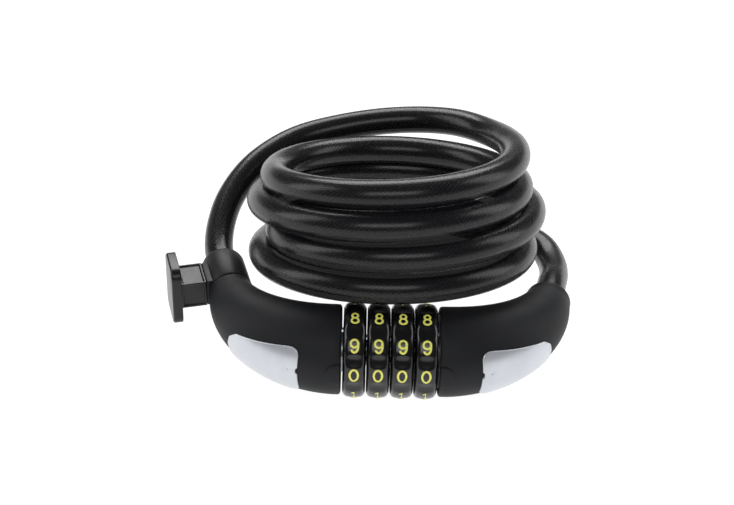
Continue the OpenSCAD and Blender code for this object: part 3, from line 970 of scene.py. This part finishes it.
@dataclass(frozen=True)
class NumberWheel:
    """A number wheel with ten raised pads and their digits, in metres from its own middle."""

    number: int
    radius: float = 0.0186
    width: float = 0.0088
    bore: float = 0.0095
    rim: float = 0.0026
    crown: float = 0.00025
    groove: float = 0.0042
    groove_depth: float = 0.0008
    row_tilt: float = 5.0
    digit_width: float = 0.0034
    digit_height: float = 0.0048
    stroke: float = 0.00041
    stroke_rise: float = 0.40
    groove_share: float = 0.55
    groove_softness: float = 0.0015
    groove_fade: float = 0.3

    def rim_radius(self, x: float) -> float:
        """Returns the crowned rim's radius at a place across the wheel."""
        flat = self.width / 2 - self.rim
        shoulder = self.radius - self.crown
        beyond = max(abs(x) - flat, 0.0)
        if beyond > 0.0:
            return shoulder - self.rim + math.sqrt(max(self.rim**2 - beyond**2, 0.0))
        return self.radius - self.crown * (x / flat) ** 2

    def profile(self) -> list[tuple[float, float]]:
        """Returns the closed section, from the bore's left edge over the rim to its right."""
        half = self.width / 2
        places = [-half * math.cos(math.pi * k / 26) for k in range(27)]
        rim = [(x, self.rim_radius(x)) for x in places]
        left = [(-half, self.bore), (-half, self.bore + 0.003)]
        right = [(half, self.bore + 0.003), (half, self.bore)]
        return [*left, *rim, *right]

    def grooved(self, radius: float, angle: float, x: float) -> float:
        """Lowers a radius where a finger groove passes, and less of it near the wheel's sides.

        Args:
            radius: The radius before the grooves.
            angle: The angle round the wheel in radians, from the code row upwards.
            x: The place across the wheel.

        Returns:
            The radius after the grooves, blended softly into the pads.
        """
        step = math.tau / 10
        off = (angle / step + 0.5) % 1.0 - 0.5
        off = abs(abs(off) - 0.5) * step
        centre = self.radius + self.groove - self.groove_depth * self.groove_share
        across = centre * math.sin(off)
        if across >= self.groove:
            return radius
        floor = centre * math.cos(off) - math.sqrt(self.groove**2 - across**2)
        soft = self.groove_softness
        mix = min(max(0.5 + 0.5 * (radius - floor) / soft, 0.0), 1.0)
        lowered = radius + (floor - radius) * mix - soft * mix * (1.0 - mix)
        from_side = self.width / 2 - abs(x)
        fade = min(max(from_side / (self.width * self.groove_fade), 0.0), 1.0)
        return radius + (lowered - radius) * fade * fade * (3 - 2 * fade)

    def settle(self, bm: bmesh.types.BMesh) -> None:
        """Moves a piece of the wheel to its place in the row."""
        bmesh.ops.translate(bm, vec=WHEEL_CENTRES[self.number - 1], verts=bm.verts)

    def build_rim(self, looks: Finishes) -> bpy.types.Object:
        """Builds the wheel with its grooves."""
        bm = lathe(self.profile(), 240, closed=True)
        tilt = math.radians(self.row_tilt)
        for v in bm.verts:
            radius = math.hypot(v.co.y, v.co.z)
            if radius < self.bore + 0.004:
                continue
            angle = math.atan2(v.co.z, -v.co.y)
            scale = self.grooved(radius, angle - tilt, v.co.x) / radius
            v.co.y *= scale
            v.co.z *= scale
        self.settle(bm)
        piece = finish_mesh(f"wheel_{self.number}_rim", bm, looks.wheel, sharp=45.0)
        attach(piece, f"wheel_{self.number}")
        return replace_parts(piece, f"number_wheel_{self.number}")

    def build_digits(self, looks: Finishes) -> bpy.types.Object:
        """Builds the ten digits as thin raised strokes wrapped on the rim."""
        curve = bpy.data.curves.new("strokes", "CURVE")
        curve.dimensions = "3D"
        curve.bevel_depth = self.stroke
        curve.bevel_resolution = 2
        curve.use_fill_caps = True
        step = math.tau / 10 * self.radius
        for digit in range(10):
            for stroke in digit_strokes(digit):
                loop = math.dist(stroke[0], stroke[-1]) < 1e-6
                points = stroke[:-1] if loop else stroke
                spline = curve.splines.new("POLY")
                spline.points.add(len(points) - 1)
                spline.use_cyclic_u = loop
                for target, (x, y) in zip(spline.points, points):
                    up = -digit * step + y * self.digit_height / 2
                    target.co = (x * self.digit_width / 2, up, 0.0, 1.0)
        holder = bpy.data.objects.new("strokes", curve)
        bpy.context.scene.collection.objects.link(holder)
        bpy.context.view_layer.update()
        graph = bpy.context.evaluated_depsgraph_get()
        flat = bpy.data.meshes.new_from_object(holder.evaluated_get(graph))
        bpy.data.objects.remove(holder)
        bm = bmesh.new()
        bm.from_mesh(flat)
        bpy.data.meshes.remove(flat)
        bmesh.ops.remove_doubles(bm, verts=bm.verts, dist=1e-6)
        tilt = math.radians(self.row_tilt)
        for v in bm.verts:
            angle = tilt + v.co.y / self.radius
            radius = self.rim_radius(v.co.x) + v.co.z * self.stroke_rise
            v.co = (v.co.x, -radius * math.cos(angle), radius * math.sin(angle))
        self.settle(bm)
        piece = finish_mesh(f"wheel_{self.number}_digits", bm, looks.digit, sharp=60.0)
        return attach(piece, f"wheel_{self.number}")

    def build(self, looks: Finishes) -> list[bpy.types.Object]:
        """Builds the wheel's pieces."""
        return [self.build_rim(looks), self.build_digits(looks)]


# ---------- bracket collar ----------


@dataclass(frozen=True)
class Bracket:
    """The collar on the cable and its T-slide, in metres from the left arm's cable end."""

    radius: float = 0.0090
    bore: float = 0.00615
    gap: float = 0.0003
    length: float = 0.020
    off_middle: float = 0.0024
    pad: float = 0.0096
    stem: Vector = field(default_factory=lambda: Vector((0.0103, 0.0146, 0.0114)))
    flange: Vector = field(default_factory=lambda: Vector((0.0040, 0.0192, 0.0260)))

    @property
    def middle(self) -> float:
        """The T-slide's place along the collar, nearer the arm than the collar's own middle."""
        return self.gap + self.length / 2 - self.off_middle

    def settle(self, bm: bmesh.types.BMesh) -> None:
        """Moves a piece from the collar's own frame to the row frame."""
        hinge = joint("collar_turn")
        along = Vector(hinge["axis"]).normalized()
        across = along.cross(UP)
        turn = Matrix((across, along, UP)).transposed().to_4x4()
        start = Vector(hinge["pos_m"]) - along * self.middle
        bmesh.ops.transform(bm, matrix=Matrix.Translation(start) @ turn, verts=bm.verts)

    def build_collar(self, looks: Finishes) -> bpy.types.Object:
        """Builds the collar with its rounded shoulders and the pad under the slide."""
        near, far = self.gap, self.gap + self.length
        r = self.radius
        profile = [
            (near, self.bore), (near, r - 0.0009), (near + 0.0002, r - 0.0003), (near + 0.0007, r),
            (far - 0.0022, r), (far - 0.0012, r - 0.0002), (far - 0.0005, r - 0.0007),
            (far - 0.0001, r - 0.0014), (far, r - 0.0019), (far, self.bore),
        ]
        bm = lathe(profile, 72, closed=True)
        quarter = Matrix.Rotation(math.pi / 2, 3, "Z")
        bmesh.ops.rotate(bm, cent=(0, 0, 0), matrix=quarter, verts=bm.verts)
        depth = self.pad - self.bore - 0.0006
        size = Vector((depth, self.stem.y, self.stem.z))
        centre = Vector((-self.pad + depth / 2, self.middle, 0.0))
        add_to(bm, rounded_box(size, centre, 0.0006))
        self.settle(bm)
        piece = finish_mesh("collar_shell", bm, looks.collar)
        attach(piece, "bracket")
        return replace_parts(piece, "bracket_collar")

    def build_stem(self) -> bmesh.types.BMesh:
        """Builds the slide's stem, with a sunk panel on each long face."""
        bm = bmesh.new()
        centre = Vector((-self.pad - self.stem.x / 2, self.middle, 0.0))
        matrix = Matrix.Translation(centre) @ Matrix.Diagonal((*self.stem, 1.0))
        bmesh.ops.create_cube(bm, size=1.0, matrix=matrix)
        panels = [f for f in bm.faces if abs(f.normal.x) < 0.5]
        bmesh.ops.inset_individual(bm, faces=panels, thickness=0.00125, depth=0.0)
        bmesh.ops.inset_individual(bm, faces=panels, thickness=0.0002, depth=-0.0006)
        return bm

    def build_flange(self) -> bmesh.types.BMesh:
        """Builds the slide's flange with round corners and a soft outer rim."""
        thick, wide, high = self.flange
        y, z = wide / 2, high / 2
        corners = [(-y, -z), (y, -z), (y, z), (-y, z)]
        bm = bmesh.new()
        face = bm.faces.new([bm.verts.new((0.0, y, z)) for y, z in corners])
        bmesh.ops.bevel(
            bm, geom=face.verts[:], offset=0.0045, segments=8, profile=0.5,
            affect="VERTICES", material=-1,
        )
        grown = bmesh.ops.extrude_face_region(bm, geom=bm.faces[:])["geom"]
        far = [g for g in grown if isinstance(g, bmesh.types.BMFace)][0]
        bmesh.ops.translate(bm, verts=far.verts[:], vec=(-thick, 0, 0))
        bmesh.ops.bevel(
            bm, geom=far.edges[:], offset=0.0009, segments=4, profile=0.5,
            affect="EDGES", material=-1,
        )
        start = Vector((-self.pad - self.stem.x, self.middle, 0.0))
        bmesh.ops.translate(bm, verts=bm.verts, vec=start)
        return bm

    def build_slide(self, looks: Finishes) -> bpy.types.Object:
        """Builds the T-slide."""
        bm = self.build_stem()
        add_to(bm, self.build_flange())
        self.settle(bm)
        piece = finish_mesh("slide_body", bm, looks.slide)
        bevel = piece.modifiers.new("edges", "BEVEL")
        bevel.width = 0.00025
        bevel.segments = 2
        bevel.limit_method = "ANGLE"
        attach(piece, "bracket")
        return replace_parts(piece, "bracket_slide")

    def build(self, looks: Finishes) -> list[bpy.types.Object]:
        """Builds the bracket's pieces."""
        return [self.build_collar(looks), self.build_slide(looks)]


# ---------- inner pieces, camera and light ----------


@dataclass(frozen=True)
class InnerPieces:
    """The CAD's inner pieces, which keep their shape and get their metal."""

    zinc: tuple[str, ...] = ("barrel_core", "plug_core")
    brass: tuple[str, ...] = ("code_ring_1", "code_ring_2", "code_ring_3", "code_ring_4")
    steel: tuple[str, ...] = (
        "spindle_tube", "detent_leaf", "wave_washer", "retaining_ring", "lock_pin",
        "left_ferrule", "right_ferrule", "left_anchor_pin", "right_anchor_pin",
    )

    def dress(self, looks: Finishes) -> None:
        """Gives each inner piece its material."""
        groups = ((self.zinc, looks.zinc), (self.brass, looks.brass), (self.steel, looks.steel))
        for names, finish in groups:
            for name in names:
                materials = frame["nodes"][name].data.materials
                materials.clear()
                materials.append(finish)
            LOG.info("dressed %s", ", ".join(names))


@dataclass(frozen=True)
class Studio:
    """The camera, the pale floor and the soft lights, with distances in metres."""

    azimuth: float = -1.5
    elevation: float = 37.0
    distance: float = 0.58
    lens: float = 73.4
    aim_across: float = -0.01036
    aim_up: float = 0.03756
    roll: float = 1.6

    def view_axes(self) -> tuple[Vector, Vector, Vector]:
        """Returns the directions back to the camera, across its view and up it."""
        turn = Matrix.Rotation(math.radians(self.azimuth), 3, "Z")
        turn @= Matrix.Rotation(math.radians(-self.elevation), 3, "X")
        return turn @ Vector((0, -1, 0)), turn @ Vector((1, 0, 0)), turn @ UP

    def build_camera(self) -> bpy.types.Object:
        """Places the camera, aimed so that the head lies low in the picture."""
        back, across, up = self.view_axes()
        data = bpy.data.cameras.new("camera")
        data.lens = self.lens
        data.sensor_width = 36.0
        data.clip_start = 0.01
        camera = bpy.data.objects.new("camera", data)
        bpy.context.scene.collection.objects.link(camera)
        place = HEAD + back * self.distance
        aim = HEAD + across * self.aim_across + up * self.aim_up
        camera.location = place
        turn = (aim - place).to_track_quat("-Z", "Y") @ Quaternion(UP, math.radians(self.roll))
        camera.rotation_euler = turn.to_euler()
        bpy.context.scene.camera = camera
        return camera

    def build_floor(self, finish: bpy.types.Material) -> bpy.types.Object:
        """Lays the pale floor, which isn't part of the lock."""
        bm = bmesh.new()
        bmesh.ops.create_grid(bm, x_segments=4, y_segments=4, size=6.0)
        bmesh.ops.translate(bm, vec=(0, 0, -0.0002), verts=bm.verts)
        floor = finish_mesh("floor", bm, finish)
        return floor

    def floor_finish(self) -> bpy.types.Material:
        """Makes the floor's white, which glows so that no shadow greys it."""
        sheet = NodeSheet("floor_white")
        cloud = sheet.noise(sheet.place(), 2.0, 2.0)
        stops = [(0.3, (0.24, 0.24, 0.245)), (0.7, (0.26, 0.26, 0.26))]
        sheet.link(sheet.ramp(cloud, stops), sheet.shader.inputs["Base Color"])
        sheet.set(Roughness=0.9, Specular_IOR_Level=0.2)
        sheet.set(Emission_Color=(1.0, 1.0, 1.0, 1.0), Emission_Strength=0.97)
        return sheet.material

    def build_light(
        self, name: str, place: Vector, size: tuple[float, float], power: float
    ) -> None:
        """Hangs a soft rectangular light that faces the lock.

        Args:
            name: The light's name.
            place: Its place in the row frame, from which it faces the origin.
            size: Its width and height.
            power: Its power in watts.
        """
        data = bpy.data.lights.new(name, "AREA")
        data.shape = "RECTANGLE"
        data.size, data.size_y = size
        data.energy = power
        light = bpy.data.objects.new(name, data)
        bpy.context.scene.collection.objects.link(light)
        light.location = place
        light.rotation_euler = (-place).to_track_quat("-Z", "Y").to_euler()

    def build_world(self) -> None:
        """Makes the dim surroundings, which shade the glossy black pieces."""
        world = bpy.data.worlds.new("studio")
        bpy.context.scene.world = world
        world.use_nodes = True
        tree = world.node_tree
        shade = tree.nodes["Background"]
        shade.inputs["Color"].default_value = (0.93, 0.94, 0.97, 1.0)
        shade.inputs["Strength"].default_value = 0.12

    def build(self) -> None:
        """Builds the camera, floor, lights and surroundings."""
        self.build_camera()
        self.build_floor(self.floor_finish())
        self.build_world()
        self.build_light("overhead", Vector((0.0, 0.92, 0.90)), (1.2, 0.7), 15.0)
        self.build_light("left_box", Vector((-1.0, 0.1, 0.5)), (0.5, 0.9), 3.6)
        self.build_light("right_box", Vector((1.0, 0.15, 0.5)), (0.5, 0.9), 3.4)
        self.build_light("front_box", Vector((-0.1, -0.9, 0.85)), (1.0, 0.42), 3.6)
        view = bpy.context.scene.view_settings
        view.view_transform = "Standard"
        view.look = "None"


def write_sizes() -> None:
    """Updates the view layer."""
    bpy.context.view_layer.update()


def main() -> None:
    """Builds the lock in order: camera and cable first, then the head and its bracket."""
    logging.basicConfig(level=logging.INFO, format="%(name)s: %(message)s")
    looks = Finishes()
    Studio().build()
    groups = [Cable(), *map(Arm, Side), *map(NumberWheel, range(1, 5)), Bracket()]
    for group in groups:
        for piece in group.build(looks):
            LOG.info("made %s", piece.name)
    InnerPieces().dress(looks)
    write_sizes()


if __name__ == "__main__":
    main()
